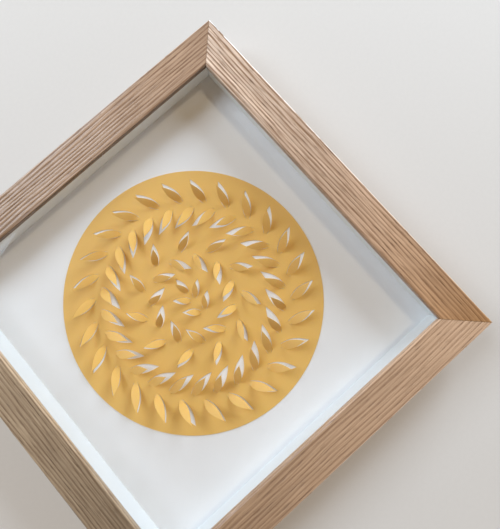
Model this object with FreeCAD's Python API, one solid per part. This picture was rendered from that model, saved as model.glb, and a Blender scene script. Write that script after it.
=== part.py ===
import FreeCAD, Part
import math
import os

# Framed layered papercut: a mitred box frame with a cut and lifted paper disc behind glass.
# It lies on its back: +Z out of the glass, +Y to the picture's top, +X to its right.
# The origin is the centre of the back face. All sizes are millimetres and degrees.

# Frame rails
RAIL_WALL = 15.0            # rail thickness outside the rabbet
LIP_OVERHANG = 5.0          # how far the front lip covers the glass, from the rabbet wall
LIP_THICKNESS = 3.5
ARRIS_RADIUS = 1.0          # rounded front edges of a rail

# The stack in the rabbet, from the glass back
GLASS_SIDE = 200.0          # the glass, the card and the back panel are cut to one size
SHEET_CLEARANCE = 1.0       # gap between a sheet's edge and the rabbet wall
GLASS_THICKNESS = 2.0
SPACER_HEIGHT = 16.0
SPACER_THICKNESS = 2.0
SPACER_CLEARANCE = 0.2      # gap between a spacer and what stands beside it
CARD_THICKNESS = 1.4
PANEL_THICKNESS = 3.0
BACK_RECESS = 6.1           # from the panel's back to the rails' back

# Papercut disc
CARD_BORDER = 18.0          # white card seen between the lip and the disc
PAPER_THICKNESS = 0.4
RIM_WIDTH = 5.0             # plain paper outside the outermost leaves
LEAF_LENGTH = 18.0          # leaves of the outermost wreath
LEAF_WIDTH = 5.4
LEAF_TAPER = 0.8            # length of one wreath's leaves to those of the wreath outside it
LEAF_BELLY = 0.9            # under 1, a leaf is widest nearer its neck than its point
LEAF_NECK = 1.6             # uncut paper that joins a leaf to its stem
LEAF_GAP = 2.5              # least paper left between neighbouring leaves
LEAF_KERF = 0.3             # how much narrower a leaf is than its opening, each side
STEM_WIDTH = 2.4            # plain band that the leaves grow from
LEAF_LEAN = 50.0            # angle between a leaf and its stem
LEAF_LIFT = 36.0            # mean slope of a lifted leaf
LIFT_SPREAD = 8.0           # leaves are lifted this much more or less
LIFT_STEP = 137.5           # turn from one leaf to the next in that spread, so it doesn't repeat
LEAF_ARCH = 14.0            # a leaf is this much steeper above its neck and flatter at its tip
NECK_BEND = 0.55            # slope of the facet at the neck, which bends up gently, to the mean slope
LEAF_FACETS = 6             # flat facets along a leaf
LEAF_SWAY = 9.0             # turn of a lifted leaf to one side of its opening
SWAY_SPREAD = 3.0           # leaves sway this much more or less

# Steel fittings
TAB_THICKNESS = 0.5
TAB_WIDTH = 8.0
TAB_BITE = 6.0              # length driven into the rail
TAB_REACH = 8.0             # length that lies over the panel, past its edge clearance
TAB_SPACING = 110.0         # between the two tabs of one rail
NAIL_THICKNESS = 0.6
NAIL_WING = 3.6             # length of one wing, measured along the mitre
NAIL_HEIGHT = 10.0
NAIL_SINK = 0.5             # the nails end this far inside the rails' back
NAIL_SPACING = 4.5          # between the two nails of one mitre, along the mitre
HANGER_GAUGE = 0.8
HANGER_WIDTH = 12.0
HANGER_SLOT_LENGTH = 18.0
HANGER_SLOT_HEIGHT = 4.5
HANGER_RISE_RUN = 3.0       # length that each sloped end of the bridge takes
HANGER_FOOT = 8.0
HANGER_NOTCH = 1.5          # depth of the notch that centres the hanger on its hook
HANGER_FROM_TOP = 22.0      # from the panel's top edge to the hanger's centre line
RIVET_SHANK_RADIUS = 1.5
RIVET_HEAD_RADIUS = 2.8
RIVET_TOP_RADIUS = 1.8      # flat top of the head
RIVET_HEAD_HEIGHT = 0.9

# Worked out from the above
RABBET_SIDE = GLASS_SIDE + 2 * SHEET_CLEARANCE
FRAME_SIDE = RABBET_SIDE + 2 * RAIL_WALL
SIGHT_SIDE = RABBET_SIDE - 2 * LIP_OVERHANG
FACE_WIDTH = RAIL_WALL + LIP_OVERHANG
PANEL_BACK = BACK_RECESS
CARD_BACK = PANEL_BACK + PANEL_THICKNESS
CARD_FRONT = CARD_BACK + CARD_THICKNESS
GLASS_BACK = CARD_FRONT + SPACER_HEIGHT
LIP_BACK = GLASS_BACK + GLASS_THICKNESS
FRAME_DEPTH = LIP_BACK + LIP_THICKNESS
DISC_RADIUS = SIGHT_SIDE / 2 - CARD_BORDER
HANGER_CENTRE = GLASS_SIDE / 2 - HANGER_FROM_TOP

UP = FreeCAD.Vector(0, 0, 1)
ORIGIN = FreeCAD.Vector(0, 0, 0)
SIDE_TURNS = {"bottom": 0, "right": 90, "top": 180, "left": 270}


def prism(points, height):
    """Extrude a closed polygon, given as (x, y, z) points, straight up."""
    corners = [FreeCAD.Vector(*p) for p in points]
    wire = Part.makePolygon(corners + corners[:1])
    return Part.Face(wire).extrude(UP * height)


def centred_box(length, width, height, centre_x, centre_y, bottom):
    corner = FreeCAD.Vector(centre_x - length / 2, centre_y - width / 2, bottom)
    return Part.makeBox(length, width, height, corner)


def turned(shape, angle):
    copy = shape.copy()
    copy.rotate(ORIGIN, UP, angle)
    return copy


# Rails

def rail_section():
    """Section of the bottom rail at x = 0, in the YZ plane, with its two front edges rounded."""
    outer = -FRAME_SIDE / 2
    wall = outer + RAIL_WALL
    inner = outer + FACE_WIDTH
    r = ARRIS_RADIUS
    cut = r * (1 - math.sqrt(0.5))

    def at(y, z):
        return FreeCAD.Vector(0, y, z)

    straight = [
        (at(outer, FRAME_DEPTH - r), at(outer, 0)),
        (at(outer, 0), at(wall, 0)),
        (at(wall, 0), at(wall, LIP_BACK)),
        (at(wall, LIP_BACK), at(inner, LIP_BACK)),
        (at(inner, LIP_BACK), at(inner, FRAME_DEPTH - r)),
        (at(inner - r, FRAME_DEPTH), at(outer + r, FRAME_DEPTH)),
    ]
    round_edges = [
        (at(inner, FRAME_DEPTH - r), at(inner - cut, FRAME_DEPTH - cut), at(inner - r, FRAME_DEPTH)),
        (at(outer + r, FRAME_DEPTH), at(outer + cut, FRAME_DEPTH - cut), at(outer, FRAME_DEPTH - r)),
    ]
    edges = [Part.LineSegment(a, b).toShape() for a, b in straight]
    edges += [Part.Arc(a, b, c).toShape() for a, b, c in round_edges]
    return Part.Face(Part.Wire(Part.__sortEdges__(edges)))


def bottom_rail():
    """The section run along X and cut to a mitre at both ends."""
    half = FRAME_SIDE / 2
    section = rail_section()
    section.translate(FreeCAD.Vector(-half, 0, 0))
    bar = section.extrude(FreeCAD.Vector(FRAME_SIDE, 0, 0))
    mitre_wedge = prism([(-half, -half, 0), (half, -half, 0), (0, 0, 0)], FRAME_DEPTH)
    return bar.common(mitre_wedge)


def make_rails(fasteners):
    """Four like rails, with a pocket for each tab and nail driven into them."""
    blank = bottom_rail()
    return {"rail_" + side: turned(blank, turn).cut(fasteners) for side, turn in SIDE_TURNS.items()}


# Sheets and spacers

def make_spacers():
    """White strips on edge round the rabbet. The upright ones stand between the other two."""
    reach = RABBET_SIDE / 2 - SPACER_CLEARANCE
    across = 2 * reach
    between = across - 2 * (SPACER_THICKNESS + SPACER_CLEARANCE)
    middle = reach - SPACER_THICKNESS / 2
    long_strip = centred_box(across, SPACER_THICKNESS, SPACER_HEIGHT, 0, -middle, CARD_FRONT)
    short_strip = centred_box(between, SPACER_THICKNESS, SPACER_HEIGHT, 0, -middle, CARD_FRONT)
    strips = {"bottom": long_strip, "right": short_strip, "top": long_strip, "left": short_strip}
    return {"spacer_" + side: turned(strip, SIDE_TURNS[side]) for side, strip in strips.items()}


def square_sheet(thickness, bottom):
    return centred_box(GLASS_SIDE, GLASS_SIDE, thickness, 0, 0, bottom)


# Papercut disc

def leaf_width(length):
    """A shorter leaf is a little broader for its length."""
    return LEAF_WIDTH * math.sqrt(length / LEAF_LENGTH)


def leaf_half_width(u, width, neck):
    """Half the width of a flat leaf at the fraction u of its length, from its neck to its point."""
    return neck / 2 * (1 - u) + (width - neck / 2) / 2 * math.sin(math.pi * u ** LEAF_BELLY)


def uneven(order):
    """A share from -1 to 1 that differs from one hand-lifted leaf to the next."""
    return math.sin(math.radians(LIFT_STEP * order))


def leaf_profile(length, lift):
    """Places (run, rise) of the cross folds along a leaf: it bends up at its neck, then arches over."""
    step = length / LEAF_FACETS
    places = [(0.0, 0.0)]
    for i in range(LEAF_FACETS):
        u = (i + 0.5) / LEAF_FACETS
        slope = math.radians(lift * NECK_BEND if i == 0 else lift + LEAF_ARCH * (1 - 2 * u))
        run, rise = places[-1]
        places.append((run + step * math.cos(slope), rise + step * math.sin(slope)))
    return places


class Leaf:
    """One leaf: where its neck is, which way it points, how long it is and how it is lifted.

    order is its number along the stem. side is 1 if it sways anticlockwise, -1 if clockwise.
    """

    def __init__(self, neck_x, neck_y, heading, length, order, side):
        self.place = FreeCAD.Placement(FreeCAD.Vector(neck_x, neck_y, CARD_FRONT),
                                       FreeCAD.Rotation(UP, heading))
        self.length = length
        self.width = leaf_width(length)
        self.neck = min(LEAF_NECK, self.width)
        self.lift = LEAF_LIFT + LIFT_SPREAD * uneven(order)
        self.sway = side * (LEAF_SWAY + SWAY_SPREAD * uneven(2 * order + 1))

    def at(self, x, y, z):
        return self.place.multVec(FreeCAD.Vector(x, y, z))

    def opening(self):
        """Closed outline of the hole that the leaf was cut from, on the sheet's back."""
        rows = []
        for i in range(LEAF_FACETS):
            u = i / LEAF_FACETS
            rows.append((u * self.length, leaf_half_width(u, self.width, self.neck)))
        right = [self.at(x, -half, 0) for x, half in rows]
        left = [self.at(x, half, 0) for x, half in rows]
        return right + [self.at(self.length, 0, 0)] + left[::-1]

    def blade_faces(self):
        """The lifted leaf's flat facets: its back, its front and the two cut edges."""
        profile = leaf_profile(self.length, self.lift)
        bend_end = profile[1][0]
        right, left = [], []
        for i, (run, rise) in enumerate(profile[:-1]):
            half = leaf_half_width(i / LEAF_FACETS, self.width, self.neck)
            if i > 0:
                half -= LEAF_KERF
            aside = math.tan(math.radians(self.sway)) * max(0, run - bend_end)
            right.append((run, aside - half, rise))
            left.append((run, aside + half, rise))
        run, rise = profile[-1]
        tip = (run, math.tan(math.radians(self.sway)) * (run - bend_end), rise)
        faces = []
        for level in (0, PAPER_THICKNESS):
            for i in range(LEAF_FACETS - 1):
                corners = [right[i], right[i + 1], left[i + 1], left[i]]
                faces.append([self.at(x, y, z + level) for x, y, z in corners])
            corners = [right[-1], tip, left[-1]]
            faces.append([self.at(x, y, z + level) for x, y, z in corners])
        for edge in (right + [tip], left + [tip]):
            for a, b in zip(edge, edge[1:]):
                faces.append([self.at(*a), self.at(*b),
                              self.at(b[0], b[1], b[2] + PAPER_THICKNESS),
                              self.at(a[0], a[1], a[2] + PAPER_THICKNESS)])
        return faces


def wreath(radius, turn, length):
    """Leaves on both sides of a round stem, leaning anticlockwise where turn is 1, clockwise where -1."""
    lean = math.radians(LEAF_LEAN)
    inner_foot = radius - STEM_WIDTH / 2
    spread = math.sin(lean) * inner_foot - length / 2
    count = int(2 * math.pi * spread / (leaf_width(length) + LEAF_GAP))
    leaves = []
    for i in range(2 * count):
        outward = i % 2 == 0
        angle = math.pi * i / count
        foot = radius + (STEM_WIDTH / 2 if outward else -STEM_WIDTH / 2)
        heading = angle + turn * (math.pi / 2 - lean if outward else math.pi / 2 + lean)
        leaves.append(Leaf(foot * math.cos(angle), foot * math.sin(angle), math.degrees(heading),
                           length, i, turn))
    return leaves


def sprig(room, length):
    """An upright sprig with one leaf at its head and pairs below it, inside a circle of radius room."""
    lean = math.radians(LEAF_LEAN)
    pitch = (leaf_width(length) + LEAF_GAP) / math.sin(lean)
    head = room - length
    leaves = [Leaf(0, head, 90, length, 0, 1)] if head > 0 else []
    tip_x = STEM_WIDTH / 2 + length * math.sin(lean)
    y = head - pitch / 2
    while y > -room and math.hypot(tip_x, y) < room:
        for side in (-1, 1):
            heading = 90 - side * LEAF_LEAN
            leaves.append(Leaf(side * STEM_WIDTH / 2, y, heading, length, len(leaves), side))
        y -= pitch
    return leaves


def leaf_layout():
    """Round wreaths from the rim inwards, leaning by turns, and a sprig in the room that is left."""
    lean = math.radians(LEAF_LEAN)
    leaves = []
    room = DISC_RADIUS - RIM_WIDTH
    length = LEAF_LENGTH
    turn = 1
    while room > length:
        across = length * math.cos(lean)
        reach = length * math.sin(lean)
        radius = math.sqrt(room ** 2 - across ** 2) - reach - STEM_WIDTH / 2
        inner_foot = radius - STEM_WIDTH / 2
        if math.sin(lean) * inner_foot < length + LEAF_GAP:
            break
        leaves += wreath(radius, turn, length)
        room = math.hypot(inner_foot - reach, across) - LEAF_GAP
        length *= LEAF_TAPER
        turn = -turn
    return leaves + sprig(room, length)


def polygon_face(points):
    return Part.Face(Part.makePolygon(points + points[:1]))


def make_papercut():
    """One sheet: a round blank with leaf-shaped openings, and each leaf still joined to it by its neck."""
    up = UP * PAPER_THICKNESS
    rim = Part.Wire(Part.makeCircle(DISC_RADIUS, UP * CARD_FRONT))
    leaves = leaf_layout()
    outlines = [leaf.opening() for leaf in leaves]
    holes = [Part.makePolygon(outline + outline[:1]) for outline in outlines]
    back = Part.makeFace([rim] + holes, "Part::FaceMakerBullseye")
    front = back.copy()
    front.translate(up)
    faces = [back, front] + rim.extrude(up).Faces
    for leaf, outline in zip(leaves, outlines):
        for a, b in zip(outline, outline[1:]):
            faces.append(polygon_face([a, b, b + up, a + up]))
        faces += [polygon_face(facet) for facet in leaf.blade_faces()]
    shell = Part.makeShell(faces)
    shell.sewShape()
    return Part.makeSolid(shell)


# Steel fittings

def make_tabs():
    """Framer's points, two a rail, driven level into the rabbet wall against the panel's back."""
    wall = -RABBET_SIDE / 2
    length = TAB_BITE + SHEET_CLEARANCE + TAB_REACH
    middle = wall - TAB_BITE + length / 2
    bottom = PANEL_BACK - TAB_THICKNESS
    tabs = []
    for turn in SIDE_TURNS.values():
        for x in (-TAB_SPACING / 2, TAB_SPACING / 2):
            blank = centred_box(TAB_WIDTH, length, TAB_THICKNESS, x, middle, bottom)
            tabs.append(turned(blank, turn))
    return Part.makeCompound(tabs)


def v_nail(distance):
    """One V nail across the mitre at 45 degrees, its bend at the given distance from the middle."""
    wing = NAIL_WING
    t = NAIL_THICKNESS * math.sqrt(0.5)
    outline = [(0, 0), (wing, wing), (wing - t, wing + t),
               (-2 * t, 0), (wing - t, -wing - t), (wing, -wing)]
    points = [(distance + x, y, NAIL_SINK) for x, y in outline]
    return turned(prism(points, NAIL_HEIGHT), 45)


def make_v_nails():
    middle = (FRAME_SIDE / 2 - RAIL_WALL / 2) * math.sqrt(2) - NAIL_WING
    nails = []
    for turn in SIDE_TURNS.values():
        for step in (-NAIL_SPACING / 2, NAIL_SPACING / 2):
            nails.append(turned(v_nail(middle + step), turn))
    return Part.makeCompound(nails)


def make_hanger():
    """A steel strap with two feet on the panel and a raised bridge that a wall hook passes behind."""
    half_slot = HANGER_SLOT_LENGTH / 2
    bend = half_slot + HANGER_RISE_RUN
    end = bend + HANGER_FOOT
    seat = PANEL_BACK
    under = seat - HANGER_SLOT_HEIGHT
    g = HANGER_GAUGE
    right = [(end, seat), (bend, seat), (half_slot, under)]
    left = [(-x, z) for x, z in right[::-1]]
    lower_left = [(-end, seat - g), (-bend - g, seat - g), (-half_slot - g, under - g)]
    lower_right = [(-x, z) for x, z in lower_left[::-1]]
    start = HANGER_CENTRE - HANGER_WIDTH / 2
    profile = [FreeCAD.Vector(x, start, z) for x, z in right + left + lower_left + lower_right]
    strap = polygon_face(profile).extrude(FreeCAD.Vector(0, HANGER_WIDTH, 0))
    n = HANGER_NOTCH
    notch = prism([(-n, start, 0), (n, start, 0), (0, start + n, 0)], seat)
    return strap.cut(notch)


def make_rivets():
    """Flat-topped heads on the hanger's feet, with shanks that end flush with the panel's front."""
    foot = HANGER_SLOT_LENGTH / 2 + HANGER_RISE_RUN + HANGER_FOOT / 2
    seat = PANEL_BACK - HANGER_GAUGE
    rivets = []
    for x in (-foot, foot):
        base = FreeCAD.Vector(x, HANGER_CENTRE, seat)
        head = Part.makeCone(RIVET_HEAD_RADIUS, RIVET_TOP_RADIUS, RIVET_HEAD_HEIGHT, base, UP * -1)
        shank = Part.makeCylinder(RIVET_SHANK_RADIUS, HANGER_GAUGE + PANEL_THICKNESS, base)
        rivets.append(head.fuse(shank))
    return Part.makeCompound(rivets)


def make_model():
    tabs = make_tabs()
    nails = make_v_nails()
    rivets = make_rivets()
    parts = make_rails([tabs, nails])
    parts.update(make_spacers())
    parts["glazing"] = square_sheet(GLASS_THICKNESS, GLASS_BACK)
    parts["mount_card"] = square_sheet(CARD_THICKNESS, CARD_BACK)
    parts["papercut_disc"] = make_papercut()
    parts["back_panel"] = square_sheet(PANEL_THICKNESS, PANEL_BACK).cut(rivets)
    parts["retaining_tabs"] = tabs
    parts["corner_v_nails"] = nails
    parts["hanger"] = make_hanger().cut(rivets)
    parts["hanger_rivets"] = rivets
    return parts


os.makedirs("parts", exist_ok=True)
for name, shape in make_model().items():
    shape.exportStep(os.path.join("parts", name + ".step"))
    solids = shape.Solids
    print(name, len(solids), "solid(s), valid", shape.isValid(), "volume", round(shape.Volume, 2))
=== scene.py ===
"""Dresses a framed layered papercut.

Grained oak-effect rails, glass, white card, a disc of cut and lifted paper, and the fittings on the back.
"""

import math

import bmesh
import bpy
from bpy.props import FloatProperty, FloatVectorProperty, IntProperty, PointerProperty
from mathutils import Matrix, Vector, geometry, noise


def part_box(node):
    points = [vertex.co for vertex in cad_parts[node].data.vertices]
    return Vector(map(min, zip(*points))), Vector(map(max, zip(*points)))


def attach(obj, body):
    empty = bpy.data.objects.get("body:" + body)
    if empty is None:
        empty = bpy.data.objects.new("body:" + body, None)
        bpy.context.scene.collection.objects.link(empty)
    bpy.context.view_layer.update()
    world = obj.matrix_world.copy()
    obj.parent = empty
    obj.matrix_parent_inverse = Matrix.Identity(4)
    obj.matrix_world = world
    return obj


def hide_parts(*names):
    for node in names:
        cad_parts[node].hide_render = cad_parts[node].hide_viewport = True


bl_info = {
    "name": "Framed Layered Papercut",
    "version": (1, 0, 0),
    "blender": (4, 5, 0),
    "location": "3D View > Sidebar > Papercut",
    "description": "Builds the finish of a box-framed, cut and lifted paper disc",
    "category": "Object",
}

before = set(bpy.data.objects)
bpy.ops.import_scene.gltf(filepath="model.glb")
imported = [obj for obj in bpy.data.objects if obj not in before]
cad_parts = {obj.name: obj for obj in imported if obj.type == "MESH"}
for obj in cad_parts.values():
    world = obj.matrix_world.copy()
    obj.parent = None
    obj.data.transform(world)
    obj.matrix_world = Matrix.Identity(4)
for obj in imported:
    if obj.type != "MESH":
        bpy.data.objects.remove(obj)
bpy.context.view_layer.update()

MM = 0.001
SIDE_TURNS = {"bottom": 0, "right": 90, "top": 180, "left": 270}

# Painted light and shade on each rail: its tint makes it lighter or darker as the light falls on it,
# with a painted sheen towards the high end of the right rail. The tint and the contrast of its grain run
# from the end with the lower X or Y to the other end.
RAIL_PAINTED_LIGHT = {
    "bottom": ((0.49, 0.43, 0.36), (0.9, 0.84, 0.79)),
    "right": ((0.63, 0.46, 0.28), (1.38, 1.53, 1.76)),
    "top": ((0.5, 0.44, 0.35), (0.76, 0.71, 0.68)),
    "left": ((0.35, 0.36, 0.34), (0.77, 0.8, 0.76)),
}
FOIL_CONTRASTS = {"bottom": (0.6, 0.6), "right": (0.6, 1.55), "top": (0.9, 0.8), "left": (0.8, 0.8)}
# Painted light and shade on the sight edge inside the lip, against the rail's face: lighter where it
# faces the light, darker where it is turned from it
SIGHT_PAINTED_LIGHT = {"bottom": 1.2, "right": 0.7, "top": 0.5, "left": 1.5}

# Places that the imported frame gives
RAIL_LOW, RAIL_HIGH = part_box("rail_bottom")
GLASS_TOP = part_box("glazing")[1].z
CARD_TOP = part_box("mount_card")[1].z
DISC_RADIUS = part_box("papercut_disc")[1].x
PANEL_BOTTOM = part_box("back_panel")[0].z
HANGER_LOW, HANGER_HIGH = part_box("hanger")
TABS_LOW, TABS_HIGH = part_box("retaining_tabs")
RIVETS_LOW, RIVETS_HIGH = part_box("hanger_rivets")


def ink(red, green, blue):
    """A colour given as 0 to 255 display values, as the linear values that shaders take."""
    shares = [value / 255 for value in (red, green, blue)]
    return tuple(s / 12.92 if s <= 0.04045 else ((s + 0.055) / 1.055) ** 2.4 for s in shares)


def colour_property(name, description, default):
    """A colour setting in linear values."""
    return FloatVectorProperty(name=name, description=description, default=default,
                               subtype="COLOR", size=3, min=0, max=1)


def length_property(name, description, millimetres):
    """A length setting, kept in metres."""
    return FloatProperty(name=name, description=description, default=millimetres * MM,
                         unit="LENGTH", subtype="DISTANCE", min=0)


def angle_property(name, description, degrees):
    """An angle setting, kept in radians."""
    return FloatProperty(name=name, description=description, default=math.radians(degrees),
                         unit="ROTATION", subtype="ANGLE")


# Settings

class RailSettings(bpy.types.PropertyGroup):
    """The wrapped oak-effect rails."""
    wall: length_property("Wall", "Rail thickness outside the rabbet", 15)
    arris: length_property("Arris", "Radius of the front edges", 1)
    groove_spacing: length_property("Grain spacing", "Between the embossed grooves", 2.2)
    groove_depth: length_property("Grain depth", "Depth of the embossed grooves", 0.22)
    line_spacing: length_property("Line spacing", "Between the fine printed growth lines", 1.3)
    mitre_gap: length_property("Mitre gap", "Hairline left open at each mitre", 0.22)
    ridge_colour: colour_property("Ridge", "Foil on the ridges of the grain", ink(226, 197, 169))
    valley_colour: colour_property("Valley", "Foil in the grooves of the grain", ink(128, 92, 62))
    pore_colour: colour_property("Pore", "Printed pores", ink(80, 54, 36))
    # Painted highlight along the front arris of the rails
    painted_highlight_colour: colour_property("Worn edge", "Foil rubbed pale along the edge", ink(250, 240, 228))
    core_colour: colour_property("Core", "Bare fibreboard at the back", ink(158, 124, 88))


class LeafSettings(bpy.types.PropertyGroup):
    """The cut and lifted leaves of the paper disc."""
    rim: length_property("Rim", "Plain paper outside the outermost leaves", 5)
    length: length_property("Length", "Leaves of the outermost wreath", 18)
    width: length_property("Width", "Widest part of such a leaf", 5.4)
    taper: FloatProperty(name="Taper", description="Length against the wreath outside", default=0.8)
    belly: FloatProperty(name="Belly", description="Under 1, widest nearer the neck", default=0.9)
    neck: length_property("Neck", "Uncut paper that joins a leaf to its stem", 1.6)
    gap: length_property("Gap", "Least paper between neighbouring leaves", 2.5)
    kerf: length_property("Kerf", "How much narrower a leaf is than its opening, each side", 0.3)
    stem: length_property("Stem", "Plain band that the leaves grow from", 2.4)
    lean: angle_property("Lean", "Angle between a leaf and its stem", 50)
    lift: angle_property("Lift", "Mean slope of a lifted leaf", 36)
    lift_spread: angle_property("Lift spread", "Leaves are lifted this much more or less", 8)
    sway: angle_property("Sway", "Turn of a lifted leaf to one side of its opening", 9)
    sway_spread: angle_property("Sway spread", "Leaves sway this much more or less", 3)
    uneven_step: angle_property("Unevenness", "Turn from one leaf to the next in the spreads", 137.5)
    arch: angle_property("Arch", "Steeper above the neck and flatter at the tip", 14)
    roll: angle_property("Roll", "A leaf turns this much about its own length", 13)
    camber: FloatProperty(name="Camber", description="Crown of a leaf to its half width", default=0.05)
    rows: IntProperty(name="Rows", description="Steps along a leaf", default=14, min=4)
    paper_colour: colour_property("Paper", "Golden craft paper", ink(234, 191, 109))
    glow_depth: length_property("Glow depth", "How far light spreads inside the thin paper", 0.4)


class MountSettings(bpy.types.PropertyGroup):
    """Card, strips, glass and back."""
    card_colour: colour_property("Card", "White mount card", ink(236, 237, 238))
    strip_colour: colour_property("Strips", "White spacer strips", ink(236, 240, 241))
    glass_tint: colour_property("Glass", "What the glass lets through", (0.978, 0.979, 0.977))
    gleam: FloatProperty(name="Gleam", description="Share of plain glass's reflections", default=0.45)
    board_colour: colour_property("Back", "Brown hardboard", ink(142, 106, 72))
    steel_colour: colour_property("Steel", "Tabs and V nails", ink(176, 177, 180))
    plate_colour: colour_property("Plating", "Hanger and rivets", ink(205, 203, 196))


class FittingSettings(bpy.types.PropertyGroup):
    """Steel tabs, strap hanger and rivets on the back."""
    tab_width: length_property("Tab width", "Across a tab", 8)
    tab_length: length_property("Tab length", "From its end in the rail to its free end", 15)
    tab_spacing: length_property("Tab spacing", "Between the two tabs of a rail", 110)
    tab_corner: length_property("Tab corner", "Radius at a tab's free end", 2)
    gauge: length_property("Strap gauge", "Thickness of the strap hanger", 0.8)
    slot: length_property("Slot length", "Raised middle of the strap", 18)
    rise_run: length_property("Rise", "Length that each sloped end of the bridge takes", 3)
    bend: length_property("Bend", "How far a bend of the strap is rounded on each side", 1.1)
    strap_corner: length_property("Strap corner", "Radius at the strap's ends", 3)
    notch: length_property("Notch", "Depth of the notch that centres the hook", 1.5)
    edge: length_property("Edge", "How far the steel's sheared edges are eased", 0.12)
    rivet_radius: length_property("Rivet", "Radius of a rivet's head", 2.8)
    shank_radius: length_property("Shank", "Radius of a rivet's shank", 1.5)


class StudioSettings(bpy.types.PropertyGroup):
    """Floor, lights and camera."""
    floor_colour: colour_property("Floor", "Plain pale floor", ink(214, 212, 208))
    floor_reach: length_property("Floor reach", "From the middle to each side of the floor", 6000)
    air_colour: colour_property("Air", "Warm light from above", (0.22, 0.135, 0.06))
    horizon_colour: colour_property("Horizon", "Pale light from low down", (0.6, 0.585, 0.57))
    beam_strength: FloatProperty(name="Beam", description="Warm beam across the right rail", default=0.47)
    beam_colour: colour_property("Beam colour", "Warm beam", (1.0, 0.82, 0.58))
    beam_spread: angle_property("Beam spread", "How soft the beam's shadows are", 6)
    window_power: FloatProperty(name="Window", description="Broad high light", default=11.4, unit="POWER")
    side_power: FloatProperty(name="Side window", description="Broad low light", default=17, unit="POWER")
    daylight_colour: colour_property("Daylight", "Cool light of both windows", (0.74, 0.86, 1.0))
    camera_place: FloatVectorProperty(name="Camera place", description="Where the camera stands",
                                      default=(0.0334, -0.0006, 0.2515), subtype="XYZ", unit="LENGTH")
    camera_turn: FloatVectorProperty(name="Camera turn", description="Which way the camera faces",
                                     default=[math.radians(a) for a in (5.733, 1.027, -41.39)],
                                     subtype="EULER", unit="ROTATION")
    camera_lens: FloatProperty(name="Lens", description="Focal length", default=28.61, unit="CAMERA")
    camera_shift: FloatVectorProperty(name="Lens shift", description="Shift to the side and up",
                                      default=(0.0438, -0.0836), size=2)


# Shader maths

class Term:
    """A node's output in Python arithmetic: each operation on it adds a Math node."""

    def __init__(self, tree, socket):
        self.tree = tree
        self.socket = socket

    def math(self, operation, *values):
        return self.tree.add("Math", {"operation": operation}, dict(enumerate(values)))

    def __add__(self, other):
        return self.math("ADD", self, other)

    def __radd__(self, other):
        return self.math("ADD", other, self)

    def __sub__(self, other):
        return self.math("SUBTRACT", self, other)

    def __rsub__(self, other):
        return self.math("SUBTRACT", other, self)

    def __mul__(self, other):
        return self.math("MULTIPLY", self, other)

    def __rmul__(self, other):
        return self.math("MULTIPLY", other, self)

    def fraction(self):
        return self.math("FRACT", self)

    def step(self, low, high):
        """0 below low, 1 above high and smooth between them."""
        return self.tree.add("MapRange", {"interpolation_type": "SMOOTHSTEP"},
                             {"Value": self, "From Min": low, "From Max": high})


class Tree:
    """The nodes of one material or of the world."""

    def __init__(self, owner):
        owner.use_nodes = True
        self.nodes = owner.node_tree.nodes
        self.links = owner.node_tree.links
        self.nodes.clear()

    def add(self, kind, settings=None, sockets=None, output=0):
        """A node of that kind: its settings first, then its sockets' values or links."""
        node = self.nodes.new("ShaderNode" + kind)
        for name, value in (settings or {}).items():
            setattr(node, name, value)
        for name, value in (sockets or {}).items():
            if isinstance(value, Term):
                self.links.new(value.socket, node.inputs[name])
            else:
                node.inputs[name].default_value = value
        return Term(self, node.outputs[output]) if node.outputs else None

    def blend(self, share, first, second, mode="MIX"):
        """One colour into another by a share from 0 to 1."""
        factor, colour_a, colour_b, mixed_colour = 0, 6, 7, 2
        sockets = {factor: share, colour_a: opaque(first), colour_b: opaque(second)}
        return self.add("Mix", {"data_type": "RGBA", "blend_type": mode}, sockets, output=mixed_colour)

    def scale_colour(self, colour, factor):
        return self.add("VectorMath", {"operation": "SCALE"}, {0: colour, "Scale": factor})

    def grain(self, scale, detail=2.0, roughness=0.5, seed=0.0):
        """Noise over the object with its own scale, per metre, along each axis."""
        place = self.add("TexCoord", output="Object")
        shift = (seed, seed, seed)
        stretched = self.add("Mapping", None, {"Vector": place, "Scale": scale, "Location": shift})
        sockets = {"Vector": stretched, "Scale": 1.0, "Detail": detail, "Roughness": roughness}
        return self.add("TexNoise", {"noise_dimensions": "3D"}, sockets, output="Fac")

    def bump(self, height, distance):
        return self.add("Bump", None, {"Height": height, "Distance": distance})

    def surface(self, colour, roughness, normal=None, gloss=0.5, metallic=0.0, more=None):
        """A Principled shader as the material's surface; more holds its other sockets."""
        sockets = {"Base Color": opaque(colour), "Roughness": roughness, "Specular IOR Level": gloss,
                   "Metallic": metallic, **(more or {})}
        if normal:
            sockets["Normal"] = normal
        self.add_output(self.add("BsdfPrincipled", None, sockets))

    def add_output(self, shader, kind="OutputMaterial"):
        self.add(kind, None, {"Surface": shader})


def opaque(colour):
    """A colour with its fourth value, or a link as it is."""
    if isinstance(colour, Term):
        return colour
    return tuple(colour)[:3] + (1.0,)


def shade(colour, factor):
    """A colour made darker or lighter."""
    return tuple(value * factor for value in colour)


# Finishes

class FoilTree(Tree):
    """The nodes of one rail's foil, with the directions along and across its grain."""

    def __init__(self, owner, along):
        super().__init__(owner)
        self.along = along

    def stretched(self, run, across):
        """One value along the grain and another on the two axes across it."""
        return tuple(run if axis == self.along else across for axis in range(3))

    def marks(self, run, across, seed, roughness=0.5):
        """Noise with so many marks a metre along the grain and across it."""
        return self.grain(self.stretched(run, across), 2, roughness, seed)

    def count(self, run, across):
        """Distance from the middle in steps of so many a metre along and across the grain."""
        place = self.add("TexCoord", output="Object")
        sockets = {0: place, 1: self.stretched(run, across)}
        return self.add("VectorMath", {"operation": "DOT_PRODUCT"}, sockets, output="Value")

    def pressed(self, label):
        """A mark that the mesh carries: its grooves' depth, its front arris for the painted highlight or
        its sight edge for painted light and shade.
        """
        return self.add("Attribute", {"attribute_name": label}, output="Fac")


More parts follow.
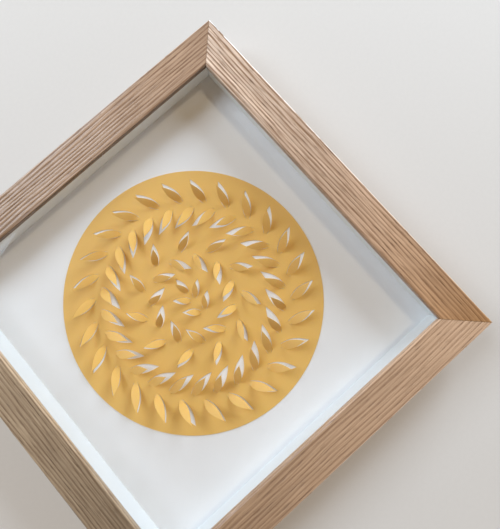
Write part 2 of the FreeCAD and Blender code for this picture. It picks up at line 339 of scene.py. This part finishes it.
def growth_lines(tree, seed, spacing):
    """Fine printed lines that wander and break off: 1 on a line and 0 between lines."""
    wander = tree.marks(10, 90, seed) * 5 + tree.marks(38, 500, seed)
    line = 1 - (tree.count(0, 1 / spacing) + wander).fraction().step(0.0, 0.5)
    return line * tree.marks(30, 560, seed + 3).step(0.36, 0.6)


def oak_foil(side, along, seed, settings):
    """Oak-effect foil along one axis: ridges and grooves, broken growth lines, fibres and short pores."""
    material = bpy.data.materials.new("oak_foil_" + side)
    tree = FoilTree(material, along)
    low_contrast, high_contrast = FOIL_CONTRASTS[side]
    share = tree.count(1 / RAIL_HIGH.x, 0) * 0.5 + 0.5
    contrast = share * (high_contrast - low_contrast) + low_contrast
    groove = tree.pressed("groove")
    line = growth_lines(tree, seed, settings.line_spacing)
    drift = tree.marks(16, 110, seed + 5)
    fibre = tree.marks(70, 2600, seed + 7, 0.6)
    pores = tree.marks(150, 1500, seed + 9).step(0.58, 0.66)
    ridge, valley = settings.ridge_colour, settings.valley_colour
    foil = tree.blend(drift.step(0.35, 0.65) * contrast, ridge, shade(ridge, 0.8))
    foil = tree.blend(groove.step(0.08, 0.75) * contrast * 0.66, foil, valley)
    foil = tree.blend(line * contrast * 0.55, foil, valley)
    foil = tree.blend(fibre.step(0.3, 0.7) * contrast * 0.35, foil, valley)
    foil = tree.blend(pores * (0.2 + groove * 0.4) * contrast, foil, settings.pore_colour)
    # Painted highlight along the front arris
    foil = tree.blend(tree.pressed("edge") * (1 - pores) * 0.85, foil, settings.painted_highlight_colour)
    # Painted light and shade: each rail, and each end of it, made lighter or darker as the light falls,
    # with a painted sheen at the right rail's high end
    tint = tree.blend(share, *RAIL_PAINTED_LIGHT[side])
    # Painted light and shade on the sight edge, by the rail's setting above
    tint = tree.scale_colour(tint, 1 + tree.pressed("sight") * (SIGHT_PAINTED_LIGHT[side] - 1))
    foil = tree.blend(1.0, foil, tint, "MULTIPLY")
    relief = tree.bump(fibre * 0.5 - pores - line * 0.6, 0.05 * MM)
    tree.surface(foil, 0.34 + groove * 0.2, relief, more={"Coat Weight": 0.35, "Coat Roughness": 0.24})
    return material


def fibreboard(name, colour):
    """Bare board behind the foil."""
    material = bpy.data.materials.new(name)
    tree = Tree(material)
    fleck = tree.grain((900, 900, 900), 4, 0.6)
    cloud = tree.grain((60, 60, 60), 3)
    board = tree.blend(fleck.step(0.3, 0.7) * 0.5, colour, shade(colour, 0.72))
    board = tree.blend(cloud.step(0.4, 0.6) * 0.3, board, shade(colour, 1.15))
    tree.surface(board, 0.85, tree.bump(fleck, 0.1 * MM))
    return material


def toothed_paper(name, colour, tooth, depth, roughness=0.85, gloss=0.15, more=None):
    """Uncoated paper or card: a fine tooth, faint clouding and a few pale fibres."""
    material = bpy.data.materials.new(name)
    tree = Tree(material)
    fine = tree.grain((tooth, tooth, tooth), 4, 0.65)
    cloud = tree.grain((38, 38, 38), 3, 0.5, 5.0)
    fibres = tree.grain((tooth * 0.2, tooth * 1.1, tooth), 2, 0.5, 9.0).step(0.6, 0.75)
    paper = tree.blend(cloud.step(0.35, 0.65) * 0.5, colour, shade(colour, 0.955))
    paper = tree.blend(fine.step(0.3, 0.7) * 0.35, paper, shade(colour, 0.93))
    paper = tree.blend(fibres * 0.12, paper, shade(colour, 1.06))
    tree.surface(paper, roughness, tree.bump(fine + fibres * 0.3, depth), gloss=gloss, more=more)
    return material


def clear_glass(name, settings):
    """Thin coated glass: clear where it faces the eye and shiny where it slants away."""
    material = bpy.data.materials.new(name)
    tree = Tree(material)
    through = tree.add("BsdfTransparent", None, {"Color": opaque(settings.glass_tint)})
    shine = tree.add("BsdfGlossy", None, {"Color": (1, 1, 1, 1), "Roughness": 0.02})
    far_face = tree.add("NewGeometry", output="Backfacing")
    glance = tree.add("Fresnel", None, {"IOR": 1.5}) * (1 - far_face) * settings.gleam
    tree.add_output(tree.add("MixShader", None, {0: glance, 1: through, 2: shine}))
    return material


def hardboard(name, colour):
    """Smooth brown hardboard with fine darker fibres."""
    material = bpy.data.materials.new(name)
    tree = Tree(material)
    fibres = tree.grain((260, 1500, 900), 3, 0.6)
    blotch = tree.grain((45, 45, 45), 3, 0.5, 4.0)
    board = tree.blend(fibres.step(0.45, 0.7) * 0.5, colour, shade(colour, 0.62))
    board = tree.blend(blotch.step(0.35, 0.7) * 0.4, board, shade(colour, 1.2))
    tree.surface(board, 0.55 + blotch * 0.15, tree.bump(fibres, 0.08 * MM))
    return material


def steel(name, colour, roughness, brush):
    """Bare or plated steel with fine drawn marks, so many a metre along each axis."""
    material = bpy.data.materials.new(name)
    tree = Tree(material)
    drawn = tree.grain(brush, 3, 0.6)
    stain = tree.grain((180, 180, 180), 3, 0.5, 6.0)
    metal = tree.blend(stain.step(0.5, 0.75) * 0.5, colour, shade(colour, 0.7))
    tree.surface(metal, roughness + drawn * 0.18, tree.bump(drawn, 0.02 * MM), metallic=1.0)
    return material


def matt_floor(name, colour):
    """Matt board with faint specks."""
    material = bpy.data.materials.new(name)
    tree = Tree(material)
    speck = tree.grain((400, 400, 400), 3)
    board = tree.blend(speck.step(0.3, 0.7) * 0.4, colour, shade(colour, 0.97))
    tree.surface(board, 0.9, gloss=0.2)
    return material


# Meshes

def new_piece(name, vertices, faces, materials, slot, node):
    """A mesh object in a node's place, with outward faces and smooth shading up to its edges."""
    mesh = bpy.data.meshes.new(name)
    mesh.from_pydata(vertices, [], faces)
    piece = bpy.data.objects.new(name, mesh)
    bpy.context.scene.collection.objects.link(piece)
    for material in materials:
        mesh.materials.append(material)
    finish_mesh(mesh)
    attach(piece, "root")
    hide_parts(node)
    return piece


def finish_mesh(mesh, weld=1e-7, crease=math.radians(32)):
    """Weld the seams, turn the faces outward and shade smooth between sharp edges."""
    shape = bmesh.new()
    shape.from_mesh(mesh)
    bmesh.ops.remove_doubles(shape, verts=shape.verts, dist=weld)
    bmesh.ops.recalc_face_normals(shape, faces=shape.faces)
    shape.to_mesh(mesh)
    shape.free()
    mesh.shade_smooth()
    mesh.set_sharp_from_angle(angle=crease)


def smooth_ramp(value, start, end):
    """0 before start, 1 after end and smooth between them."""
    share = min(max((value - start) / (end - start), 0.0), 1.0)
    return share * share * (3 - 2 * share)


def dress(node, *materials):
    """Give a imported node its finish."""
    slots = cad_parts[node].data.materials
    slots.clear()
    for material in materials:
        slots.append(material)


# Rails

def arc_points(centre, radius, start, end, steps):
    """Points round a quarter of an arris, after its start."""
    points = []
    for i in range(1, steps + 1):
        angle = math.radians(start + (end - start) * i / steps)
        points.append((centre[0] + radius * math.cos(angle), centre[1] + radius * math.sin(angle)))
    return points


def line_points(start, end, step):
    """Points from just after start to end, no further apart than step."""
    run = math.dist(start, end)
    count = max(1, math.ceil(run / step))
    return [(start[0] + (end[0] - start[0]) * i / count, start[1] + (end[1] - start[1]) * i / count)
            for i in range(1, count + 1)]


def rail_outline(settings):
    """Closed section of the bottom rail as (y, z), foil side first.

    With it go how many points are foil, where the sight edge starts, and which points of the front arris
    take the painted highlight."""
    outer, inner = RAIL_LOW.y, RAIL_HIGH.y
    wall = outer + settings.wall
    back, front = RAIL_LOW.z, RAIL_HIGH.z
    r = settings.arris
    step, arc_steps = 0.33 * MM, 6
    foil = [(outer, back)]
    foil += line_points(foil[-1], (outer, front - r), step)
    # Points of the front arris that take the painted highlight
    painted_highlight = range(len(foil) + 1, len(foil) + 4)
    foil += arc_points((outer + r, front - r), r, 180, 90, arc_steps)
    foil += line_points(foil[-1], (inner - r, front), step)
    foil += arc_points((inner - r, front - r), r, 90, 0, arc_steps)
    sight_start = len(foil) - 4
    foil += line_points(foil[-1], (inner, GLASS_TOP), step)
    core = [(wall, GLASS_TOP), (wall, back)]
    return foil + core, len(foil), sight_start, painted_highlight


def groove_depth(run, across, seed, spacing):
    """How deep the embossed grain is at a place, from 0 on a ridge to 1 in the deepest groove."""
    def drift(length, width, other):
        return noise.noise(Vector((run / (length * MM), across / (width * MM), seed + other)))

    wander = 1.8 * MM * drift(80, 11, 0) + 0.3 * MM * drift(22, 4, 5)
    wave = 0.5 + 0.5 * math.cos(2 * math.pi * (across + wander) / spacing)
    narrowness = 2.4
    strength = 0.78 + 0.7 * drift(18, 3, 11)
    break_up = 0.2 * drift(9, 1.1, 17)
    return min(max(wave ** narrowness * strength + break_up, 0.0), 1.0)


def section_normals(outline):
    """Outward normal at each point of a closed section, clockwise where y is to the right and z up."""
    normals = []
    for i in range(len(outline)):
        before, after = outline[i - 1], outline[(i + 1) % len(outline)]
        tangent = Vector((after[0] - before[0], after[1] - before[1])).normalized()
        normals.append((-tangent.y, tangent.x))
    return normals


def distances_along(outline):
    """How far each point of the section is from its first, along the section."""
    distances = [0.0]
    for a, b in zip(outline, outline[1:]):
        distances.append(distances[-1] + math.dist(a, b))
    return distances


def swept_faces(rings, size):
    """Faces of closed rings of so many points joined one to the next, with both ends capped."""
    faces = []
    for start in range(0, (rings - 1) * size, size):
        for i in range(size):
            a, b = start + i, start + (i + 1) % size
            faces.append((a, b, b + size, a + size))
    faces.append(tuple(range(size)))
    faces.append(tuple(range((rings - 1) * size, rings * size)))
    return faces


def build_rail(side, turn, settings, materials):
    """One rail: its section run from mitre to mitre, with the grain pressed into the foil faces."""
    outline, foil_count, sight_start, painted_highlight = rail_outline(settings)
    size, stations = len(outline), 191
    normals, distances = section_normals(outline), distances_along(outline)
    spin = Matrix.Rotation(math.radians(turn), 3, "Z")
    vertices, depths = [], []
    for station in range(stations):
        share = 2 * station / (stations - 1) - 1
        for i, (y, z) in enumerate(outline):
            run = share * (abs(y) - settings.mitre_gap / 2)
            pressed = 0 < i < foil_count - 1
            depth = groove_depth(run, distances[i], turn, settings.groove_spacing) if pressed else 0.0
            sunk = depth * settings.groove_depth
            vertices.append(spin @ Vector((run, y - normals[i][0] * sunk, z - normals[i][1] * sunk)))
            depths.append(depth)
    piece = new_piece("grained_rail_" + side, vertices, swept_faces(stations, size), materials,
                      "oak_foil", "rail_" + side)
    # Front arris points, which take the painted highlight
    edges = [1.0 if i in painted_highlight else 0.0 for i in range(size)] * stations
    sights = [1.0 if sight_start <= i < foil_count else 0.0 for i in range(size)] * stations
    mark_points(piece.data, groove=depths, edge=edges, sight=sights)
    side_faces = (stations - 1) * size
    for face in piece.data.polygons:
        if face.index >= side_faces or face.index % size >= foil_count - 1:
            face.material_index = 1


def mark_points(mesh, **marks):
    """Give each point of a mesh its values of the named marks, which the foil reads."""
    for label, values in marks.items():
        attribute = mesh.attributes.new(label, "FLOAT", "POINT")
        attribute.data.foreach_set("value", values)


# Paper disc

def leaf_width(length, settings):
    """A shorter leaf is a little broader for its length."""
    return settings.width * math.sqrt(length / settings.length)


class Leaf:
    """One leaf: where its neck is, which way it points, how long it is and how it is lifted.

    order is its number along the stem. side is 1 if it sways anticlockwise, -1 if clockwise.
    """

    def __init__(self, foot, heading, length, order, side, settings):
        self.foot = foot
        self.heading = heading
        self.length = length
        self.settings = settings
        self.width = leaf_width(length, settings)
        self.neck = min(settings.neck, self.width)
        wave = settings.uneven_step
        self.lift = settings.lift + settings.lift_spread * math.sin(wave * order)
        sway_share = math.sin(wave * (2 * order + 1))
        self.sway = side * (settings.sway + settings.sway_spread * sway_share)
        self.roll = -side * settings.roll * (1 + 0.5 * math.sin(wave * (3 * order + 2)))

    def half_width(self, u):
        """Half the width of the opening at a share u of its length from the neck."""
        belly = math.sin(math.pi * u ** self.settings.belly)
        return self.neck / 2 * (1 - u) + (self.width - self.neck / 2) / 2 * belly

    def place(self, run, across, up):
        """A point so far along the leaf, to its left and above the card."""
        cos, sin = math.cos(self.heading), math.sin(self.heading)
        x = self.foot[0] + run * cos - across * sin
        y = self.foot[1] + run * sin + across * cos
        return Vector((x, y, CARD_TOP + up))

    def slope(self, u):
        """How steep the leaf is there: flat at the neck and flatter again towards the tip."""
        bend = smooth_ramp(u, 0.0, 0.2)
        return bend * (self.lift + self.settings.arch * (1 - 2 * u))

    def opening(self):
        """Outline of the leaf's hole on the flat sheet, from the right of the neck round to its left."""
        rows = self.settings.rows
        right = [(i / rows * self.length, -self.half_width(i / rows)) for i in range(rows)]
        left = [(run, -across) for run, across in right[::-1]]
        return right + [(self.length, 0.0)] + left

    def blade(self, columns, thickness):
        """Rows of points over the lifted leaf, on its back and its front."""
        rows = self.settings.rows
        step = self.length / rows
        run = rise = aside = 0.0
        back, front = [], []
        for i in range(rows + 1):
            u = i / rows
            half = self.half_width(u) - (self.settings.kerf if 0 < i < rows else 0)
            middle = (run, aside, rise)
            back.append([self.blade_point(u, v, half, middle, 0.0) for v in columns])
            front.append([self.blade_point(u, v, half, middle, thickness) for v in columns])
            slope = self.slope(u + 0.5 / rows)
            run += step * math.cos(slope)
            rise += step * math.sin(slope)
            aside += step * math.cos(slope) * math.tan(self.sway) * smooth_ramp(u, 0.05, 0.3)
        return back, front

    def blade_point(self, u, v, half, middle, level):
        """A point of the lifted leaf, v from -1 to 1 across it and level above its back."""
        run, aside, rise = middle
        loose = smooth_ramp(u, 0.0, 0.3)
        roll = self.roll * loose
        crown = self.settings.camber * half * (1 - v * v) * loose
        across = aside + half * v * math.cos(roll) - crown * math.sin(roll)
        out = half * v * math.sin(roll) + crown * math.cos(roll) + level
        slope = self.slope(u)
        return self.place(run - out * math.sin(slope), across, rise + out * math.cos(slope))


def wreath(radius, turn, length, settings):
    """Leaves on both sides of a round stem, leaning anticlockwise where turn is 1, clockwise where -1."""
    half_stem = settings.stem / 2
    spread = math.sin(settings.lean) * (radius - half_stem) - length / 2
    count = int(2 * math.pi * spread / (leaf_width(length, settings) + settings.gap))
    leaves = []
    for i in range(2 * count):
        side = 1 if i % 2 == 0 else -1
        angle = math.pi * i / count
        reach = radius + side * half_stem
        foot = (reach * math.cos(angle), reach * math.sin(angle))
        heading = angle + turn * (math.pi / 2 - side * settings.lean)
        leaves.append(Leaf(foot, heading, length, i, turn, settings))
    return leaves


def sprig(room, length, settings):
    """An upright sprig with one leaf at its head and pairs below it, inside a circle of radius room."""
    upright = math.pi / 2
    half_stem = settings.stem / 2
    pitch = (leaf_width(length, settings) + settings.gap) / math.sin(settings.lean)
    head = room - length
    leaves = [Leaf((0, head), upright, length, 0, 1, settings)] if head > 0 else []
    tip_x = half_stem + length * math.sin(settings.lean)
    y = head - pitch / 2
    while y > -room and math.hypot(tip_x, y) < room:
        for side in (-1, 1):
            foot, heading = (side * half_stem, y), upright - side * settings.lean
            leaves.append(Leaf(foot, heading, length, len(leaves), side, settings))
        y -= pitch
    return leaves


def leaf_layout(settings):
    """Round wreaths from the rim inwards, leaning by turns, and a sprig in the room that is left."""
    leaves = []
    room = DISC_RADIUS - settings.rim
    length = settings.length
    turn = 1
    while room > length:
        across = length * math.cos(settings.lean)
        reach = length * math.sin(settings.lean)
        radius = math.sqrt(room ** 2 - across ** 2) - reach - settings.stem / 2
        inner_foot = radius - settings.stem / 2
        if math.sin(settings.lean) * inner_foot < length + settings.gap:
            break
        leaves += wreath(radius, turn, length, settings)
        room = math.hypot(inner_foot - reach, across) - settings.gap
        length *= settings.taper
        turn = -turn
    return leaves + sprig(room, length, settings)


class SheetMesh:
    """Vertices and faces of the paper, gathered piece by piece."""

    def __init__(self, thickness):
        self.thickness = thickness
        self.vertices = []
        self.faces = []

    def add_face(self, places):
        first = len(self.vertices)
        self.vertices += places
        self.faces.append(range(first, first + len(places)))

    def add_wall(self, outline):
        """Cut edge of the sheet along a line of points on its back."""
        up = Vector((0, 0, self.thickness))
        for a, b in zip(outline, outline[1:]):
            self.add_face([a, b, b + up, a + up])

    def add_flat(self, loops):
        """The sheet's back and front between a rim, the first loop, and the holes inside it."""
        points, areas = [], []
        for loop in loops:
            areas.append(list(range(len(points), len(points) + len(loop))))
            points += [place.to_2d() for place in loop]
        cut = geometry.delaunay_2d_cdt(points, [], areas, 1, 1e-8)
        corners, triangles, areas_round = cut[0], cut[2], cut[5]
        paper = [triangle for triangle, around in zip(triangles, areas_round) if around == [0]]
        for level in (0.0, self.thickness):
            first = len(self.vertices)
            self.vertices += [Vector((*corner, CARD_TOP + level)) for corner in corners]
            self.faces += [[first + i for i in triangle] for triangle in paper]

    def add_blade(self, back, front):
        """A lifted leaf: both faces, and the cut edges from one side of its neck round its tip."""
        for rows in (back, front):
            for one, other in zip(rows, rows[1:]):
                for i in range(len(one) - 1):
                    self.add_face([one[i], one[i + 1], other[i + 1], other[i]])
        for column in (0, -1):
            low, high = [row[column] for row in back], [row[column] for row in front]
            for i in range(len(back) - 1):
                self.add_face([low[i], low[i + 1], high[i + 1], high[i]])


def build_leafwork(settings):
    """The disc as one sheet of paper: its rim, its leaf-shaped openings and the lifted leaves."""
    thickness = frame_paper_thickness()
    sheet = SheetMesh(thickness)
    columns = [i / 3 for i in range(-3, 4)]
    turns = [math.radians(degrees) for degrees in range(360)]
    rim = [Vector((DISC_RADIUS * math.cos(a), DISC_RADIUS * math.sin(a), CARD_TOP)) for a in turns]
    loops = [rim]
    sheet.add_wall(rim + rim[:1])
    for leaf in leaf_layout(settings):
        edge = [leaf.place(run, across, 0.0) for run, across in leaf.opening()]
        neck = [leaf.place(0.0, leaf.neck / 2 * v, 0.0) for v in columns[::-1]]
        sheet.add_wall(edge)
        loops.append(edge + neck[1:-1])
        sheet.add_blade(*leaf.blade(columns, thickness))
    sheet.add_flat(loops)
    glow = {"Subsurface Weight": 0.2, "Subsurface Radius": (1.0, 0.7, 0.15),
            "Subsurface Scale": settings.glow_depth}
    paper = toothed_paper("golden_paper", settings.paper_colour, 2400, 0.05 * MM, 0.6, 0.5, glow)
    new_piece("lifted_leaf_paper", sheet.vertices, sheet.faces, [paper], "yellow_paper", "papercut_disc")


def frame_paper_thickness():
    """The disc's own sheet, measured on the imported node: its lowest level above the card's face."""
    levels = sorted({round(v.co.z, 6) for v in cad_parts["papercut_disc"].data.vertices})
    return levels[1] - levels[0]


# Fittings

def eased_bends(corners, reach, steps=6):
    """A path through corners as (x, z), with each inner corner rounded over reach on both sides."""
    path = [Vector(corners[0])]
    for before, corner, after in zip(corners, corners[1:], corners[2:]):
        corner = Vector(corner)
        start = corner + (Vector(before) - corner).normalized() * reach
        end = corner + (Vector(after) - corner).normalized() * reach
        for i in range(steps + 1):
            u = i / steps
            path.append(start * (1 - u) ** 2 + corner * 2 * u * (1 - u) + end * u ** 2)
    path.append(Vector(corners[-1]))
    return path


def divided(path, step):
    """The path with points added so that none lie further apart than step."""
    points = [path[0]]
    for a, b in zip(path, path[1:]):
        count = max(1, math.ceil((b - a).length / step))
        points += [a.lerp(b, i / count) for i in range(1, count + 1)]
    return points


def rounded_end(distance, radius):
    """How much narrower each side of a strip is at a distance from its rounded end."""
    left = min(max(radius - distance, 0.0), radius)
    return radius - math.sqrt(radius ** 2 - left ** 2)


def strip_mesh(path, sides, thickness, edge):
    """A flat strip swept along a path of (x, z), between sides as (low y, high y) at each point."""
    vertices = []
    for i, point in enumerate(path):
        before, after = path[max(i - 1, 0)], path[min(i + 1, len(path) - 1)]
        tangent = (after - before).normalized()
        out = Vector((-tangent.y, tangent.x)) * thickness / 2
        inset = out * (1 - 2 * edge / thickness)
        low, high = sides[i]
        ring = [(low + edge, out), (high - edge, out), (high, inset), (high, -inset),
                (high - edge, -out), (low + edge, -out), (low, -inset), (low, inset)]
        vertices += [Vector((point.x + o.x, y, point.y + o.y)) for y, o in ring]
    return vertices, swept_faces(len(path), len(ring))


def join_meshes(parts):
    """Vertices and faces of several meshes as those of one."""
    vertices, faces = [], []
    for some_vertices, some_faces in parts:
        start = len(vertices)
        vertices += some_vertices
        faces += [tuple(start + i for i in face) for face in some_faces]
    return vertices, faces


def build_hanger(settings, material):
    """The strap: two rounded feet on the panel, rounded bends and a raised bridge with its notch."""
    half_gauge = settings.gauge / 2
    end, seat, bottom = HANGER_HIGH.x, PANEL_BOTTOM - half_gauge, HANGER_LOW.z + half_gauge
    half_slot = settings.slot / 2 + half_gauge
    bend = half_slot + settings.rise_run
    corners = [(end, seat), (bend, seat), (half_slot, bottom),
               (-half_slot, bottom), (-bend, seat), (-end, seat)]
    path = divided(eased_bends(corners, settings.bend), 0.4 * MM)
    sides = []
    for point in path:
        narrow = rounded_end(end - abs(point.x), settings.strap_corner)
        notch = max(settings.notch - abs(point.x), 0.0)
        sides.append((HANGER_LOW.y + narrow + notch, HANGER_HIGH.y - narrow))
    strap = strip_mesh(path, sides, settings.gauge, settings.edge)
    new_piece("strap_hanger", *strap, [material], "plated_steel", "hanger")


def build_tabs(settings, material):
    """Two tabs a rail, each driven into the rail and rounded at its free end over the panel."""
    start = -TABS_HIGH.x
    end = start + settings.tab_length
    thickness = TABS_HIGH.z - TABS_LOW.z
    level = (TABS_LOW.z + TABS_HIGH.z) / 2
    path = divided([Vector((start, level)), Vector((end, level))], 0.25 * MM)
    halves = [settings.tab_width / 2 - rounded_end(end - point.x, settings.tab_corner) for point in path]
    vertices, faces = strip_mesh(path, [(-half, half) for half in halves], thickness, settings.edge)
    tabs = []
    for turn in SIDE_TURNS.values():
        spin = Matrix.Rotation(math.radians(turn), 3, "Z")
        for y in (-settings.tab_spacing / 2, settings.tab_spacing / 2):
            tabs.append(([spin @ (v + Vector((0, y, 0))) for v in vertices], faces))
    new_piece("sprung_tabs", *join_meshes(tabs), [material], "spring_steel", "retaining_tabs")


def lathe_mesh(profile, x, y, steps=40):
    """A profile of (radius, z) turned about the upright line through x and y, both ends capped."""
    vertices = []
    for radius, z in profile:
        for i in range(steps):
            angle = 2 * math.pi * i / steps
            vertices.append(Vector((x + radius * math.cos(angle), y + radius * math.sin(angle), z)))
    return vertices, swept_faces(len(profile), steps)


def rivet_profile(settings):
    """Half of a rivet's section, head down: its dished middle, its dome and seat, and its shank."""
    seat, low = PANEL_BOTTOM - settings.gauge, RIVETS_LOW.z
    rim = 0.2 * (seat - low)
    crown = seat - low - rim
    r = settings.rivet_radius
    dish = 0.35 * r
    crest = 1.5 * dish
    profile = [(0.2 * dish, low + rim), (0.7 * dish, low + 0.7 * rim), (dish, low)]
    dome_steps = 8
    for i in range(dome_steps + 1):
        angle = math.pi / 2 * i / dome_steps
        profile.append((crest + (r - crest) * math.sin(angle), seat - rim - crown * math.cos(angle)))
    return profile + [(r, seat), (settings.shank_radius, seat), (settings.shank_radius, RIVETS_HIGH.z)]


def build_rivets(settings, material):
    """A pressed rivet through each foot of the strap."""
    profile = rivet_profile(settings)
    x = RIVETS_HIGH.x - settings.rivet_radius
    y = (HANGER_LOW.y + HANGER_HIGH.y) / 2
    rivets = [lathe_mesh(profile, side * x, y) for side in (-1, 1)]
    new_piece("domed_rivets", *join_meshes(rivets), [material], "plated_steel", "hanger_rivets")


# Operators

def settings_of(context):
    """The framed papercut's settings in the scene."""
    return context.scene.papercut


class PAPERCUT_OT_rails(bpy.types.Operator):
    """Build the four grained rails, mitred at the corners"""
    bl_idname = "papercut.rails"
    bl_label = "Oak rails"

    def execute(self, context):
        settings = settings_of(context).rails
        core = fibreboard("rail_core", settings.core_colour)
        for side, turn in SIDE_TURNS.items():
            axis = 0 if turn % 180 == 0 else 1
            foil = oak_foil(side, axis, turn / 90, settings)
            build_rail(side, turn, settings, [foil, core])
        return {"FINISHED"}


class PAPERCUT_OT_glazing(bpy.types.Operator):
    """Give the glass its finish"""
    bl_idname = "papercut.glazing"
    bl_label = "Glass"

    def execute(self, context):
        dress("glazing", clear_glass("float_glass", settings_of(context).mount))
        return {"FINISHED"}


class PAPERCUT_OT_mount(bpy.types.Operator):
    """Give the white card and the four spacer strips their finish"""
    bl_idname = "papercut.mount"
    bl_label = "Card and spacers"

    def execute(self, context):
        settings = settings_of(context).mount
        card = toothed_paper("white_mount_card", settings.card_colour, 2200, 0.06 * MM)
        strip = toothed_paper("white_strip_paper", settings.strip_colour, 1600, 0.03 * MM, 0.7)
        dress("mount_card", card)
        for side in SIDE_TURNS:
            dress("spacer_" + side, strip)
        return {"FINISHED"}


class PAPERCUT_OT_leafwork(bpy.types.Operator):
    """Cut and lift the leaves of the paper disc"""
    bl_idname = "papercut.leafwork"
    bl_label = "Leaf paper"

    def execute(self, context):
        build_leafwork(settings_of(context).leaves)
        return {"FINISHED"}


class PAPERCUT_OT_back(bpy.types.Operator):
    """Give the back panel and the nails their finish"""
    bl_idname = "papercut.back"
    bl_label = "Back panel and nails"

    def execute(self, context):
        settings = settings_of(context).mount
        dress("back_panel", hardboard("brown_hardboard", settings.board_colour))
        nails = steel("nail_steel", settings.steel_colour, 0.3, (300, 300, 3000))
        dress("corner_v_nails", nails)
        return {"FINISHED"}


class PAPERCUT_OT_fittings(bpy.types.Operator):
    """Build the sprung tabs, the strap hanger and its rivets"""
    bl_idname = "papercut.fittings"
    bl_label = "Tabs and hanger"

    def execute(self, context):
        settings = settings_of(context).fittings
        colours = settings_of(context).mount
        spring = steel("spring_steel", colours.steel_colour, 0.35, (300, 300, 3000))
        strap = steel("plated_strap", colours.plate_colour, 0.28, (200, 2500, 2500))
        rivet = steel("plated_rivet", colours.plate_colour, 0.3, (900, 900, 900))
        build_tabs(settings, spring)
        build_hanger(settings, strap)
        build_rivets(settings, rivet)
        return {"FINISHED"}


def lay_floor(settings):
    """A square of pale board under the frame."""
    reach = settings.floor_reach
    corners = [(-reach, -reach, 0), (reach, -reach, 0), (reach, reach, 0), (-reach, reach, 0)]
    mesh = bpy.data.meshes.new("studio_floor")
    mesh.from_pydata(corners, [], [(0, 1, 2, 3)])
    mesh.materials.append(matt_floor("pale_floor", settings.floor_colour))
    floor = bpy.data.objects.new("studio_floor", mesh)
    bpy.context.scene.collection.objects.link(floor)


def fill_air(settings):
    """Light from all round: pale low down and warm overhead."""
    world = bpy.data.worlds.new("studio_air")
    bpy.context.scene.world = world
    air = Tree(world)
    direction = air.add("TexCoord", output="Generated")
    height = air.add("SeparateXYZ", None, {"Vector": direction}, output="Z")
    colour = air.blend(height.step(0.25, 0.6), settings.horizon_colour, settings.air_colour)
    air.add_output(air.add("Background", None, {"Color": colour}), "OutputWorld")


def add_light(name, kind, place, power, colour, mirrored, **shape):
    """A light that points at the middle of the card. Gloss and glass show it only if it is mirrored."""
    light = bpy.data.lights.new(name, kind)
    light.energy = power
    light.color = colour
    for setting, value in shape.items():
        setattr(light, setting, value)
    holder = bpy.data.objects.new(name, light)
    holder.visible_glossy = mirrored
    bpy.context.scene.collection.objects.link(holder)
    holder.location = place
    sight = Vector((0, 0, CARD_TOP)) - holder.location
    holder.rotation_euler = sight.to_track_quat("-Z", "Y").to_euler()


def set_lights(settings):
    """A warm beam from the right and two cool windows, one high at the top and one low at the right."""
    daylight = settings.daylight_colour
    add_light("beam", "SUN", (0.36, 0.02, 1.01), settings.beam_strength, settings.beam_colour,
              False, angle=settings.beam_spread)
    add_light("window", "AREA", (-0.3, 0.887, 0.95), settings.window_power, daylight,
              True, shape="RECTANGLE", size=0.8, size_y=0.65)
    add_light("side_window", "AREA", (1.15, 0.25, 0.55), settings.side_power, daylight,
              False, shape="RECTANGLE", size=0.8, size_y=0.6)


def set_camera(settings):
    """A wide lens above the frame, a little off its middle."""
    lens = bpy.data.cameras.new("camera")
    lens.sensor_fit = "HORIZONTAL"
    lens.sensor_width = 36
    lens.lens = settings.camera_lens
    lens.shift_x, lens.shift_y = settings.camera_shift
    lens.clip_start = 10 * MM
    camera = bpy.data.objects.new("camera", lens)
    camera.location = settings.camera_place
    camera.rotation_euler = settings.camera_turn
    bpy.context.scene.collection.objects.link(camera)
    bpy.context.scene.camera = camera


class PAPERCUT_OT_studio(bpy.types.Operator):
    """Lay the pale floor and set the lights and the camera"""
    bl_idname = "papercut.studio"
    bl_label = "Studio"

    def execute(self, context):
        settings = settings_of(context).studio
        lay_floor(settings)
        fill_air(settings)
        set_lights(settings)
        set_camera(settings)
        context.scene.view_settings.view_transform = "Standard"
        return {"FINISHED"}


OPERATORS = [PAPERCUT_OT_rails, PAPERCUT_OT_glazing, PAPERCUT_OT_mount, PAPERCUT_OT_leafwork,
             PAPERCUT_OT_back, PAPERCUT_OT_fittings, PAPERCUT_OT_studio]


class PAPERCUT_PT_panel(bpy.types.Panel):
    """The steps that dress the frame, in order"""
    bl_idname = "PAPERCUT_PT_panel"
    bl_label = "Framed papercut"
    bl_space_type = "VIEW_3D"
    bl_region_type = "UI"
    bl_category = "Papercut"

    def draw(self, context):
        for operator in OPERATORS:
            self.layout.operator(operator.bl_idname)


class PapercutSettings(bpy.types.PropertyGroup):
    """All the settings of the framed papercut."""
    rails: PointerProperty(type=RailSettings, name="Rails", description="Oak-effect rails")
    leaves: PointerProperty(type=LeafSettings, name="Leaves", description="Cut and lifted leaves")
    mount: PointerProperty(type=MountSettings, name="Mount", description="Card, glass, back and steel")
    fittings: PointerProperty(type=FittingSettings, name="Fittings", description="Tabs and hanger")
    studio: PointerProperty(type=StudioSettings, name="Studio", description="Floor, lights and camera")


CLASSES = [RailSettings, LeafSettings, MountSettings, FittingSettings, StudioSettings,
           PapercutSettings, *OPERATORS, PAPERCUT_PT_panel]


def register():
    for entry in CLASSES:
        bpy.utils.register_class(entry)
    bpy.types.Scene.papercut = PointerProperty(type=PapercutSettings)


def unregister():
    del bpy.types.Scene.papercut
    for entry in reversed(CLASSES):
        bpy.utils.unregister_class(entry)


def main():
    register()
    for operator in OPERATORS:
        group, name = operator.bl_idname.split(".")
        getattr(getattr(bpy.ops, group), name)()


if __name__ == "__main__":
    main()
